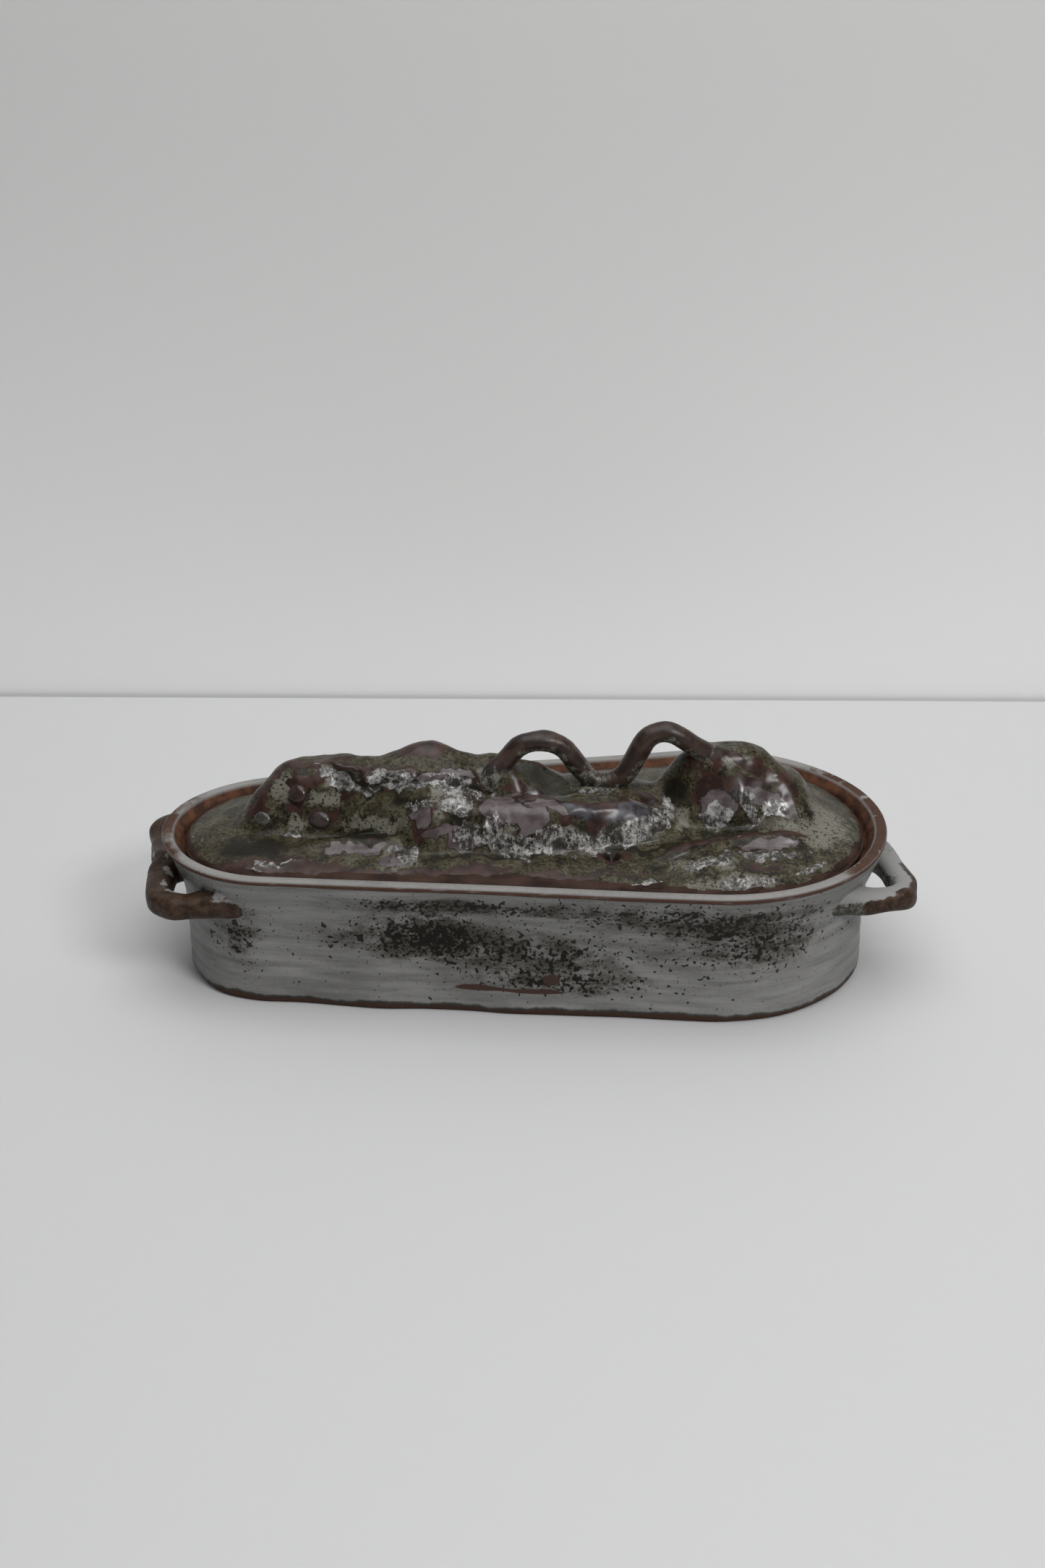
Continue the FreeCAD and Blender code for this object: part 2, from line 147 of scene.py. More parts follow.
def skin(name, grid, fields=None):
    """A closed mesh over a grid of points in millimetres, with one float attribute for each field.

    Neighbours on the grid, whose rows run round the piece, are joined by quads, equal points are
    welded, and the faces are turned so that the enclosed volume, the sum of a . (b x c) / 6 over its
    triangles, is positive.
    """
    rows, count = grid.shape[:2]
    index = np.arange(rows * count).reshape(rows, count)
    index = np.concatenate([index, index[:, :1]], 1)
    quads = np.stack([index[:-1, :-1], index[:-1, 1:], index[1:, 1:], index[1:, :-1]], -1).reshape(-1, 4)
    points, first, same = np.unique(np.round(grid.reshape(-1, 3), 4), axis=0,
                                    return_index=True, return_inverse=True)
    quads = same.reshape(-1)[quads]
    a, b, c, d = (points[quads[:, i]] for i in range(4))
    if np.sum(a * np.cross(b, c)) + np.sum(a * np.cross(c, d)) < 0:
        quads = quads[:, ::-1]
    distinct = quads != np.roll(quads, -1, axis=1)
    sides = distinct.sum(1)
    faces = [list(q) for q in quads[sides == 4]]
    faces += [list(q[keep]) for q, keep in zip(quads[sides == 3], distinct[sides == 3])]
    mesh = bpy.data.meshes.new(name)
    mesh.from_pydata(points * MILLIMETRE, [], faces)
    mesh.polygons.foreach_set("use_smooth", np.ones(len(faces), bool))
    for field, values in (fields or {}).items():
        layer = mesh.attributes.new(field, "FLOAT", "POINT")
        layer.data.foreach_set("value", np.ascontiguousarray(values.reshape(-1)[first], np.float32))
    mesh.update()
    return set_out(name, mesh)


def over_wall(values):
    """One value for each row of the section, carried round the dish, and none on floor and base."""
    rows = np.concatenate([np.zeros(BASE_ROWS), values, np.zeros(FLOOR_ROWS)])
    return np.broadcast_to(rows[:, None], (len(rows), DISH_ROUND))


section = np.concatenate([rounded(OUTSIDE, OUTSIDE_BENDS, OUTSIDE_ROWS),
                          rounded(INSIDE, INSIDE_BENDS, INSIDE_ROWS)])
inset, level = section.T
_, radius, nx, ny = oval(DISH_ROUND)
base_inset = OUTSIDE[0][0]
floor_inset, floor_level = INSIDE[-1]
base_share = np.linspace(1, 0, BASE_ROWS + 1)[:-1, None]
floor_share = np.linspace(0, 1, FLOOR_ROWS + 1)[1:, None]
insets = np.concatenate([
    base_inset + (radius - base_inset) * base_share,
    np.repeat(inset[:, None], DISH_ROUND, 1),
    floor_inset + (radius - floor_inset) * floor_share,
])
levels = np.concatenate([0 * base_share, level[:, None], floor_level + 0 * floor_share])
grid = shell_of(insets, levels, DISH_ROUND)
row = np.arange(len(section))
outer_face = row < np.argmax(level)
outside = over_wall(outer_face * smooth(0, 6, row) * smooth(81.5, 79.5, level))
side = np.stack([nx, ny, 0 * nx], -1)
x, y, z = np.moveaxis(grid, 2, 0)
dent = sum(ripple(grid * stretch, length, seed) * depth for stretch, length, seed, depth in DENTS)
bulge = BULGE * np.exp(-((y - BULGE_Y) / BULGE_HALF) ** 2) * smooth(150, 190, x) * smooth(66, 76, z)
wave = smooth(60, 76, z) * (ripple(grid * (1, 1, 0), 120, 9) * 0.35 - 0.3) * smooth(73.9, 76, z)
grid = grid + side * ((dent - 0.2) * outside + bulge * (outside > 0))[..., None]
grid[..., 2] += wave
masks = {
    "lip": outer_face * smooth(80.4, 80.8, level) * smooth(84.0, 83.5, level),
    "rim": smooth(83.5, 84.0, level) * smooth(7.6, 6.9, inset),
    "gallery": ~outer_face * smooth(6.9, 7.6, inset) * smooth(69, 72, level),
}
wall = skin("dish_wall", grid, {name: over_wall(values) for name, values in masks.items()})


class Field:
    """One output of a node tree. Arithmetic on it adds Math nodes, node() adds any other node."""

    def __init__(self, tree, socket):
        self.tree = tree
        self.socket = socket

    def feed(self, target, value):
        """A field is linked to the target socket, and a number or a colour is set on it."""
        if isinstance(value, Field):
            self.tree.links.new(value.socket, target)
        elif isinstance(value, tuple) and len(value) == 3 and target.type == "RGBA":
            target.default_value = (*value, 1)
        else:
            target.default_value = value

    def node(self, kind, settings, inputs, output=0):
        """One output of a new node, after its settings and then its inputs are given."""
        made = self.tree.nodes.new(kind)
        for name, value in settings.items():
            setattr(made, name, value)
        for name, value in inputs.items():
            self.feed(made.inputs[name], value)
        return Field(self.tree, made.outputs[output])

    def math(self, operation, *values):
        """One Math node of this and the given values."""
        return self.node("ShaderNodeMath", {"operation": operation}, dict(enumerate((self, *values))))

    def __add__(self, other):
        return self.math("ADD", other)

    def __mul__(self, other):
        return self.math("MULTIPLY", other)

    def __sub__(self, other):
        return self.math("SUBTRACT", other)

    def __rsub__(self, other):
        return (self * -1) + other

    __radd__ = __add__
    __rmul__ = __mul__

    def most(self, other):
        """The larger of this and the other."""
        return self.math("MAXIMUM", other)

    def step(self, low, high):
        """0 below low, 1 above high, and 3 t^2 - 2 t^3 between."""
        return self.node("ShaderNodeMapRange", {"interpolation_type": "SMOOTHSTEP"},
                         {"Value": self, "From Min": low, "From Max": high})

    def sibling(self, output):
        """Another output of the same node."""
        return Field(self.tree, self.socket.node.outputs[output])

    def stretched(self, x, y, z):
        """This vector with each coordinate multiplied by its own number."""
        return self.node("ShaderNodeVectorMath", {"operation": "MULTIPLY"}, {0: self, 1: (x, y, z)})

    def coordinate(self, axis):
        """One coordinate of this vector, X, Y or Z, in millimetres."""
        return self.node("ShaderNodeSeparateXYZ", {}, {0: self}, axis) * (1 / MILLIMETRE)

    def attribute(self, name):
        """A float attribute of the mesh."""
        return self.node("ShaderNodeAttribute", {"attribute_name": name}, {}, "Fac")

    def noise(self, size, detail=3.0, roughness=0.55, distortion=0.0):
        """Perlin noise whose features are about the given size in millimetres."""
        return self.node("ShaderNodeTexNoise", {}, {
            "Vector": self, "Scale": 1 / MILLIMETRE / size, "Detail": detail,
            "Roughness": roughness, "Distortion": distortion})

    def cells(self, size):
        """Distance from the middle of the nearest of scattered dots, and that dot's random value."""
        far = self.node("ShaderNodeTexVoronoi", {}, {"Vector": self, "Scale": 1 / MILLIMETRE / size})
        return far, far.sibling("Color")

    def near(self, middle, size):
        """exp(-r^2), r the distance of this vector from the middle in half sizes, in millimetres."""
        scaled = self.node("ShaderNodeVectorMath", {"operation": "SUBTRACT"},
                           {0: self, 1: tuple(m * MILLIMETRE for m in middle)})
        scaled = scaled.stretched(*(1 / (s * MILLIMETRE) for s in size))
        squared = scaled.node("ShaderNodeVectorMath", {"operation": "DOT_PRODUCT"},
                              {0: scaled, 1: scaled}, 1)
        return (squared * -1.0).math("EXPONENT")

    def tint(self, low, high):
        """The colour low where this is 0 and high where it is 1."""
        return self.node("ShaderNodeMix", {"data_type": "RGBA"}, {0: self, 6: low, 7: high}, 2)

    def bump(self, strength, depth):
        """The normal of a surface raised by this height, whose 1 is the depth in millimetres."""
        return self.node("ShaderNodeBump", {}, {
            "Height": self, "Strength": strength, "Distance": depth * MILLIMETRE})


def material(name, base):
    """A material with one Principled shader, and the object coordinates in its node tree."""
    made = bpy.data.materials.new(name)
    made.use_nodes = True
    made.diffuse_color = (*base, 1)
    tree = made.node_tree
    return made, Field(tree, tree.nodes.new("ShaderNodeTexCoord").outputs["Object"])


def finished(made, place, surface):
    """The material, with each named socket of its shader fed a field, or set to a number."""
    shader = made.node_tree.nodes["Principled BSDF"]
    for socket, value in surface.items():
        place.feed(shader.inputs[socket], value)
    return made


GREY = (0.148, 0.146, 0.140)
PALE_GREY = (0.262, 0.259, 0.250)
OLIVE = (0.031, 0.026, 0.014)
DARK_OLIVE = (0.006, 0.005, 0.003)
SPECK_BROWN = (0.026, 0.015, 0.010)
RUST = (0.056, 0.031, 0.024)
FOOT_CLAY = ((0.0525, 0.0273, 0.0182), (0.075, 0.039, 0.026))
LIP_CLAY = (0.072, 0.037, 0.025)
RIM_GREYS = ((0.20, 0.197, 0.188), (0.275, 0.27, 0.258))
RIM_CLAY = ((0.052, 0.028, 0.020), (0.094, 0.052, 0.037))
LEDGE_RUST = ((0.045, 0.022, 0.015), (0.120, 0.052, 0.028))
# Olive clouds in the glaze of the wall: strength, middle and half sizes.
STAINS = [
    (1.25, (-58, -80, 50), (30, 40, 15)), (1.05, (-40, -80, 71), (70, 40, 5)),
    (0.55, (-40, -80, 44), (52, 40, 14)), (1.1, (92, -85, 67), (66, 40, 11)),
    (0.95, (122, -85, 46), (46, 40, 14)), (0.75, (14, -80, 40), (44, 40, 12)),
    (0.95, (16, -80, 22), (52, 40, 8)), (0.9, (-160, -58, 44), (12, 40, 20)),
    (0.55, (-186, -40, 60), (14, 40, 24)), (0.35, (-104, -60, 46), (24, 40, 14)),
    (0.9, (40, 95, 52), (110, 60, 18)), (0.7, (-110, 75, 60), (40, 60, 20)),
]
# Size of the flecks over the stains, and the height of the noise above which they show.
FLECKS = [(1.7, 0.735), (3.4, 0.730)]
# Middle and half sizes of the rust-coloured scars low on the near side.
SCARS = [((-30, -70, 17), (16, 40, 2.4)), ((4, -74, 16), (20, 40, 1.8)), ((12, -75, 24), (6, 40, 5))]
RIM_MIDDLE = -9.0


def brushed(place):
    """Level brush streaks and fine grain, each a noise, and the height of both over soft lumps."""
    streaks = place.stretched(0.10, 0.10, 1.0).noise(4.5, 5, 0.6)
    grain = place.noise(2.0, 4, 0.75)
    return streaks, grain, grain * 0.35 + place.noise(8, 3) * 0.7 + streaks * 0.7


def dish_glaze():
    """Streaked grey, then stains, flecks, specks, scars and bare clay, each tinted over the last."""
    glaze, place = material("dish_glaze", GREY)
    streaks, grain, relief = brushed(place)
    cloud = place.stretched(0.35, 0.35, 1.0).noise(30, 4, 0.6)
    colour = (streaks * 0.5 + cloud * 0.35 + grain * 0.15).step(0.36, 0.64).tint(GREY, PALE_GREY)

    stain = sum(place.near(middle, size) * strength for strength, middle, size in STAINS)
    drift = place.stretched(0.5, 0.5, 1.0).noise(10, 5, 0.75)
    wash = (stain * (drift.step(0.30, 0.70) * 0.9 + 0.25) + (grain - 0.5) * 0.5).step(0.10, 0.78)
    colour = (wash * 0.85).tint(colour, OLIVE)
    for size, reach in FLECKS:
        fleck = place.noise(size, 1, 0.5) + stain * 0.21 + (drift - 0.5) * 0.14
        colour = (fleck.step(reach, reach + 0.05) * 0.9).tint(colour, DARK_OLIVE)
    far, chance = place.cells(15)
    colour = ((0.075 - far).step(0.0, 0.03) * chance.step(0.45, 0.55)).tint(colour, SPECK_BROWN)
    scar = sum(place.near(middle, size) for middle, size in SCARS)
    scar = (scar * (place.stretched(0.3, 0.3, 1.0).noise(7, 4, 0.7) + 0.55)).step(0.50, 0.72)
    colour = scar.tint(colour, RUST)

    plan = place.stretched(1, 1, 0)
    below = plan.noise(34, 2) * 6.0 + plan.noise(5, 3) * 2.4 - place.coordinate("Z")
    colour = (below.step(-2.4, -0.8) * 0.8).tint(colour, DARK_OLIVE)
    foot = below.step(-0.6, 0.4)
    colour = foot.tint(colour, place.noise(3, 4, 0.7).tint(*FOOT_CLAY))

    chipped = (place.stretched(0.15, 0.15, 1).noise(2.2, 3) + 0.25).step(0.52, 0.68)
    lip = place.attribute("lip") * (chipped * 0.6 + 0.4)
    colour = lip.tint(colour, LIP_CLAY)
    rim = place.attribute("rim")
    colour = (rim * 0.9).tint(colour, (streaks * 0.6 + grain * 0.4).step(0.35, 0.6).tint(*RIM_GREYS))
    ends = (place.coordinate("X") - RIM_MIDDLE).math("ABSOLUTE")
    worn = (ends + (place.noise(20, 4, 0.6) - 0.5) * 70.0).step(178, 194)
    flakes = place.noise(11, 3).step(0.60, 0.66) * 0.8
    worn = rim * worn * (1.0 - flakes)
    colour = worn.tint(colour, place.noise(6, 4).tint(*RIM_CLAY))
    gallery = place.attribute("gallery")
    colour = gallery.tint(colour, place.noise(9, 4).step(0.35, 0.65).tint(*LEDGE_RUST))

    bare = foot.most(gallery).most(lip * 0.6).most(worn)
    relief = relief + foot * -0.6 + scar * -0.5 + worn * -0.4
    return finished(glaze, place, {
        "Base Color": colour,
        "Roughness": bare * 0.36 + wash * -0.08 + (grain - 0.5) * 0.2 + 0.40,
        "Specular IOR Level": 0.14,
        "Normal": relief.bump(0.5, 0.6),
    })


wall.data.materials.append(dish_glaze())
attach(wall, "root")
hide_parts("dish")


# End handles: two thick straps at each end, bent out from the middle of the end and back to the side
# of the wall, luted on under the rim and glazed with the dish, with brown clay bare on the outside.
# Each strap's corners in plan, the radii of its two bends, and how far the clay is bare all over.
STRAPS = {
    "left_front_strap": ([(-190, 2), (-206.5, -6), (-206.5, -52), (-160, -45)], [14, 15], 0.75),
    "left_rear_strap": ([(-190, -4), (-206, 2), (-215.8, 55), (-160, 50)], [14, 13], 0.75),
    "right_front_strap": ([(190, 2), (206, -5), (216, -54), (160, -56)], [14, 15], 0.0),
    "right_rear_strap": ([(184, -2), (200, 3), (201, 58), (158, 66)], [12, 14], 0.0),
}
STRAP_HEIGHT = 59.5
STRAP_HALVES = (7.6, 6.9)
STRAP_SQUARENESS = 2.7
STRAP_INWARD = 1.6
STRAP_POINTS = 150
STRAP_ROUND = 48
WELD_RISE = 3.0
STRAP_OLIVE = (0.040, 0.037, 0.025)
STRAP_CLAY = ((0.024, 0.014, 0.009), (0.068, 0.041, 0.027))


def with_ends(path):
    """The path with its first and last points given twice, for the rings that close a tube."""
    return np.concatenate([path[:1], path, path[-1:]])


def tube(path, side, across, along, power, count):
    """Rings round a path: p + across |cos|^(2/power) side' + along |sin|^(2/power) up', signs kept.

    side' is the given direction made square to the path, up' is square to both, and each end is
    closed by a ring of no size.
    """
    path = with_ends(path)
    run = np.gradient(path, axis=0)
    run[0], run[-1] = run[1], run[-2]
    run /= np.linalg.norm(run, axis=1)[:, None]
    out = np.cross(run, side)
    out /= np.linalg.norm(out, axis=1)[:, None]
    up = np.cross(out, run)
    size = np.ones(len(path))
    size[0] = size[-1] = 0
    turn = np.arange(count) / count * 2 * math.pi
    c = np.sign(np.cos(turn)) * np.abs(np.cos(turn)) ** (2 / power)
    s = np.sign(np.sin(turn)) * np.abs(np.sin(turn)) ** (2 / power)
    across = np.broadcast_to(across, len(path)) * size
    along = np.broadcast_to(along, len(path)) * size
    return (path[:, None] + out[:, None] * (across[:, None] * c)[..., None]
            + up[:, None] * (along[:, None] * s)[..., None])


def hand_shaped(rings, path, length, seed, depth, shrink):
    """Rings moved along their radii by depth * ripple - shrink, and the directions of those radii."""
    out = rings - with_ends(path)[:, None]
    size = np.linalg.norm(out, axis=2, keepdims=True)
    out = out / np.maximum(size, 1e-6)
    move = ripple(rings, length, seed) * depth - shrink
    return rings + out * move[..., None] * (size > 1), out


def strap_glaze():
    """Grey where the noise is high or the strap's top is near, olive below, brown where it is worn."""
    glaze, place = material("strap_glaze", GREY)
    relief = brushed(place)[2]
    mottle = place.noise(16, 4) * 0.5 + place.noise(2.6, 3, 0.7) * 0.5
    above = place.coordinate("Z").step(STRAP_HEIGHT + 2.5, STRAP_HEIGHT + 6.0)
    colour = (mottle + above * 0.16).step(0.42, 0.60).tint(STRAP_OLIVE, PALE_GREY)
    worn = place.attribute("worn") - above * 0.30 + (place.noise(8, 4) - 0.5) * 1.2
    clay = place.noise(5, 4, 0.7).step(0.35, 0.65).tint(*STRAP_CLAY)
    return finished(glaze, place, {
        "Base Color": worn.step(0.36, 0.52).tint(colour, clay),
        "Roughness": place.noise(5, 3) * 0.2 + 0.34,
        "Specular IOR Level": 0.14,
        "Normal": relief.bump(0.5, 0.6),
    })


glaze = strap_glaze()
for number, (name, (corners, bends, bare)) in enumerate(STRAPS.items()):
    plan = rounded(corners, bends, STRAP_POINTS)
    plan = plan * (1 - STRAP_INWARD / np.linalg.norm(plan, axis=1))[:, None]
    path = np.concatenate([plan, np.full((STRAP_POINTS, 1), STRAP_HEIGHT)], 1)
    ring = np.arange(STRAP_POINTS + 2)
    from_end = np.minimum(ring, ring[::-1]) / len(ring)
    weld = smooth(0.30, 0.06, from_end)
    across = STRAP_HALVES[0] * (1 + 0.35 * weld)
    along = STRAP_HALVES[1] * (1 + 0.5 * weld)
    rings = tube(path, (0, 0, 1), across, along, STRAP_SQUARENESS, STRAP_ROUND)
    rings[..., 2] += (WELD_RISE * weld)[:, None]
    rings = hand_shaped(rings, path, length=24, seed=20 + number, depth=0.5, shrink=0.35)[0]
    middle = with_ends(path)[:, None]
    outward = np.hypot(rings[..., 0], rings[..., 1]) - np.hypot(middle[..., 0], middle[..., 1])
    worn = smooth(-3.5, 4.5, outward) * smooth(0.14, 0.32, from_end)[:, None]
    strap = skin(name, rings, {"worn": worn * 0.9 + bare})
    strap.data.materials.append(glaze)
    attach(strap, "root")
    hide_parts("dish")


# Lid: one fired plate that drops into the gallery, with a lying animal modelled on it by hand. The runny
# glaze breaks to brown on crests, pools mauve and grey in hollows, and stops short of the edge. Its
# colours also hold painted light: glints on the crazing, sheen in the pools, and shade under the ridge,
# the roll and the arches and in the vent.
LID_GAP = 13.0
LID_ROUND = 860
LID_ROWS = 92
DOME_EDGE = 80.5
DOME_RISE = 8
DOME_WIDTH = 38
ROUNDED_EDGE = 3
ROUNDED_DROP = 2.6
# Middle x and y, half length and half width, rise, turn in degrees, and how full the shape is.
SWELLINGS = {
    "head": (-115, 3, 33, 20, 38, 0, 4),
    "snout": (-141, 0, 15, 15, 25, 0, 3),
    "back": (-55, 2, 68, 18, 37.5, 0, 5),
    "shoulder": (-55, 0, 34, 17, 47, 0, 2.3),
    "withers": (-4, 2, 30, 20, 34, 0, 3),
    "chest": (-64, -13, 47, 11, 36, 0, 5),
    "belly": (-48, -24, 22, 15, 28, 0, 4),
    "saddle": (38, 2, 52, 25, 23, 0, 4),
    "roll": (13, -27, 64, 15, 26.5, 2, 5),
    "haunch": (113, 5, 36, 20, 42.5, 0, 4),
    "rump": (143, 7, 20, 22, 27, 0, 3),
    "foreleg": (-88, -32, 34, 7, 8, 3, 3),
    "hindleg": (92, -46, 26, 5.5, 8, 24, 3),
    "hock": (134, -37, 24, 6, 9, 3, 3),
}
# Mounds and scoops along the back: rise, then middle, half sizes, slope and power in plan.
TOUCHES = [
    (2.6, (-20, -4, 11, 10)), (2.4, (103, -3, 9, 9)),
    (-4.6, (9, -8, 14, 10, -0.3, 4)), (-3.0, (73, -6, 12, 8, 0.25, 4)),
]
VENT = (46, -50)
VENT_RADIUS = 4.0
VENT_DEPTH = 7.5
# The lid's edge and the ring that rests on the ledge, as (inset from the edge, height).
EDGE = [(0, 77.2), (0, 76.2), (0, 75.0), (0.4, 74.3), (1.2, 74), (9, 74), (17, 74), (23, 80)]
SIDE_SLOPE = math.radians(25.5)
# Zones of the glaze, the relief and the painted light on the near side, seen from the front: middle x
# and w, half sizes along them, and slope, where x runs along the lid and w up the side.
# Silvery crazing, its bright colour painted glints and sheen.
CRAZING_AND_GLINTS = [
    (-105, 101.6, 14, 4, -0.4), (-75, 102.2, 13, 2), (-38.6, 90.7, 8, 10), (-60, 87, 7, 2.5),
    (-32, 69, 6, 10), (-70, 60.6, 9, 3.5), (-131, 71.2, 5, 0.8), (-137, 55.6, 12, 0.9),
    (60, 72, 16, 5, 0.42), (14, 71, 7, 4), (38, 92.7, 9, 1.6), (77, 81, 2.5, 10), (107.6, 78, 9, 8),
    (125.6, 83, 4, 10), (139, 80.7, 8, 5), (133, 57.2, 16, 1.9), (97, 52.9, 15, 2.6, 0.2),
    (154, 48, 11, 1.7, 0.25), (117, 41.6, 14, 3), (62, 41, 8, 1.5),
]
# Mauve pools of glaze, their colour partly painted sheen.
MAUVES = [
    (-58.4, 81.5, 5.5, 6), (-44, 72, 17, 3.6), (-34, 65.2, 8, 6), (-12, 83, 15, 8, -0.15),
    (2, 77, 9, 9), (12, 84, 12, 4, -0.35), (-95, 63.9, 17, 3.4, 0.08), (131.4, 62.7, 18, 3.4),
    (-46, 102.5, 15, 3.2), (108, 84, 12, 8), (135, 86, 13, 7, -0.4), (-38, 91, 5, 5),
    (-75, 56, 9, 1.6),
]
# Blue-grey pools of glaze on the roll, their colour partly painted sheen.
BLUES = [(23, 83.2, 15, 4, -0.1), (56.3, 80.7, 14, 5, 0.25), (6, 86, 9, 4, -0.5), (120, 90, 10, 4)]
GREYS = [
    (-133, 98.6, 12, 10), (-109, 92, 13, 6), (-127, 78, 7, 6), (-85, 77, 21, 7), (-71, 57, 13, 5),
    (-50, 87, 8, 9), (-15.5, 71.6, 11, 9), (88, 77, 5, 9), (165, 70, 22, 13), (24, 66, 15, 8),
    (40, 94, 14, 3.5), (97, 53, 18, 4), (112, 42, 30, 5), (60, 70, 16, 5), (73, 103, 9, 4, 0.6),
    (110, 110, 16, 5), (-112, 102, 8, 4), (-70, 98, 14, 3),
]
# Dark olive patches of glaze, and painted shadow in thin bands under the ridge and under the foot of the
# roll and in the scoops under the arches.
DARKS_AND_SHADOWS = [
    (34, 74, 14, 3), (-36, 80, 5, 8), (-81, 94.5, 19, 2.6), (-150, 64, 26, 6), (-51, 98, 12, 3),
    (35, 74, 8, 8), (-66, 89, 8, 3), (8, 100, 16, 7, -0.5), (60, 61, 40, 1.8),
    (100, 66, 20, 2.4, 0.1), (-20, 57.5, 50, 1.8), (46, 57, 6, 3.4), (-90, 70, 26, 2.2),
    (122, 50.5, 10, 4), (85, 92, 9, 7),
]
BROWNS = [
    (-110, 112, 11, 3), (-128, 111, 7, 2.2, 0.4), (-140, 104, 7, 3, 0.8), (-149, 92, 4, 10),
    (-150, 84.6, 5, 5), (-122, 100.7, 5.5, 4), (-130, 86, 4, 4), (-125.6, 83.7, 3.4, 3.4),
    (-80, 104.6, 20, 1.6), (-113, 80, 6, 5), (-10, 94.2, 18, 3.6, -0.24), (-54, 119, 22, 3),
    (35, 74, 9, 6), (45, 82, 7, 5), (70, 87, 8, 4), (98, 90, 9, 5, 0.5), (120, 97, 22, 4.5),
    (146, 90, 7, 14, -1.0), (128, 106, 12, 4, -0.5), (60, 87, 14, 1.6, 0.2), (-27, 51, 18, 2.4),
    (126, 51, 12, 3), (-61, 68, 4, 5), (12, 89, 16, 2.2, -0.35), (-60, 76, 3, 7),
    (-135, 54, 34, 4.5), (-80, 50, 50, 2.4), (20, 47, 60, 1.6), (-57, 120, 16, 5),
]
# Scoops under the two arches: smooth grey glaze darkened by painted shade.
HOLLOWS = [(8, 100, 17, 7, -0.55), (76, 104, 16, 4.5, 0.6)]
FINGER_MARKS = [(-18, 71, 8, 10)]
FINGER_SPACING = 6.8
LEG_FOLDS = [(81, 57, 14, 5, 0.3)]
FOLD_SPACING = 3.4
# Lines of the same view: the ridge along the side of the body, and the foot of the roll.
RIDGE = [
    (-106, 109), (-94, 105), (-82, 102.6), (-72, 103), (-63, 105), (-48, 103.5), (-32, 100.6),
    (-27, 95),
]
ROLL_FOOT = [(-14, 64), (12, 63.5), (30, 64.5), (52, 68), (68, 74), (80, 84)]


def dome(inset):
    """edge + rise (1 - (1 - u)^2) - (1 - u)^6, with u = inset / width held to 1.

    Less the drop times 1 - sqrt(1 - (1 - v)^2), with v = inset / rounded edge held to 1.
    """
    u = np.clip(inset / DOME_WIDTH, 0, 1)
    round_off = 1 - np.sqrt(1 - (1 - np.clip(inset / ROUNDED_EDGE, 0, 1)) ** 2)
    return DOME_EDGE + DOME_RISE * (1 - (1 - u) ** 2) - (1 - u) ** 6 - ROUNDED_DROP * round_off


def swelling(x, y, middle_x, middle_y, reach, half, rise, turn, full):
    """rise * 0.5 ** (r ** full), r the distance from the middle in half sizes along its own axes."""
    turn = math.radians(turn)
    along = ((x - middle_x) * math.cos(turn) + (y - middle_y) * math.sin(turn)) / reach
    across = ((y - middle_y) * math.cos(turn) - (x - middle_x) * math.sin(turn)) / half
    return rise * 0.5 ** (np.hypot(along, across) ** full)


def animal(x, y):
    """Height of the animal: s = (sum of swelling^6)^(1/6) - 3, cut off softly at no height.

    The soft cut is (s + sqrt(s^2 + 1.4)) / 2 - 0.1.
    """
    s = sum(swelling(x, y, *values) ** 6 for values in SWELLINGS.values()) ** (1 / 6) - 3
    return (s + np.sqrt(s ** 2 + 1.4)) / 2 - 0.1


def spread(x, w, middle_x, middle_w, half_x, half_w, tilt=0.0, power=2):
    """dx^power + dw^power from the middle in half sizes, the second axis sheared by the tilt."""
    dx = (x - middle_x) / half_x
    dw = (w - middle_w - tilt * (x - middle_x)) / half_w
    return dx ** power + dw ** power


radius = oval(LID_ROUND)[1]
reach = radius - LID_GAP
share = np.linspace(1, 0, LID_ROWS)[:, None]
inset = reach * share
top = shell_of(LID_GAP + inset, 0 * share, LID_ROUND)
x, y = top[..., 0], top[..., 1]
swell = animal(x, y)
height = dome(inset) + swell * smooth(1, 7, inset)
for rise, values in TOUCHES:
    height += rise * np.exp(-spread(x, y, *values))
from_vent = np.hypot(x - VENT[0], y - VENT[1])
height -= VENT_DEPTH * smooth(VENT_RADIUS + 0.5, VENT_RADIUS - 0.5, from_vent)
top[..., 2] = height
w = height * math.cos(SIDE_SLOPE) + y * math.sin(SIDE_SLOPE)
x_bent = x + ripple(top, 24, 61) * 1.6 + ripple(top, 7, 62) * 0.9
w_bent = w + ripple(top, 20, 63) * 1.2 + ripple(top, 6, 64) * 0.7
near_side = smooth(12, -2, y)
on_animal = smooth(0.6, 4, swell)


def patches(places, power):
    """exp(-q^power) on the near side, q the least of the places' spreads."""
    least = np.minimum.reduce([spread(x_bent, w_bent, *values) for values in places])
    return near_side * np.exp(-least ** power)


def stroke(line, rise, half):
    """exp(-r^2), r the distance in half widths from a line raised up the slope, fading at its ends."""
    line_x, line_w = np.array(line).T
    fade = smooth(line_x[0] - 3, line_x[0] + 3, x_bent) * smooth(line_x[-1] + 3, line_x[-1] - 3, x_bent)
    return near_side * fade * np.exp(-((w_bent - rise - np.interp(x_bent, line_x, line_w)) / half) ** 2)


def upward_normals(grid):
    """Unit normals of a grid closed round its rows: crossed central differences, turned upwards."""
    round_way = np.roll(grid, -1, 1) - np.roll(grid, 1, 1)
    in_way = np.gradient(grid, axis=0)
    normal = np.cross(round_way, in_way)
    normal = normal / np.maximum(np.linalg.norm(normal, axis=2, keepdims=True), 1e-9)
    return normal * np.sign(normal[..., 2:])


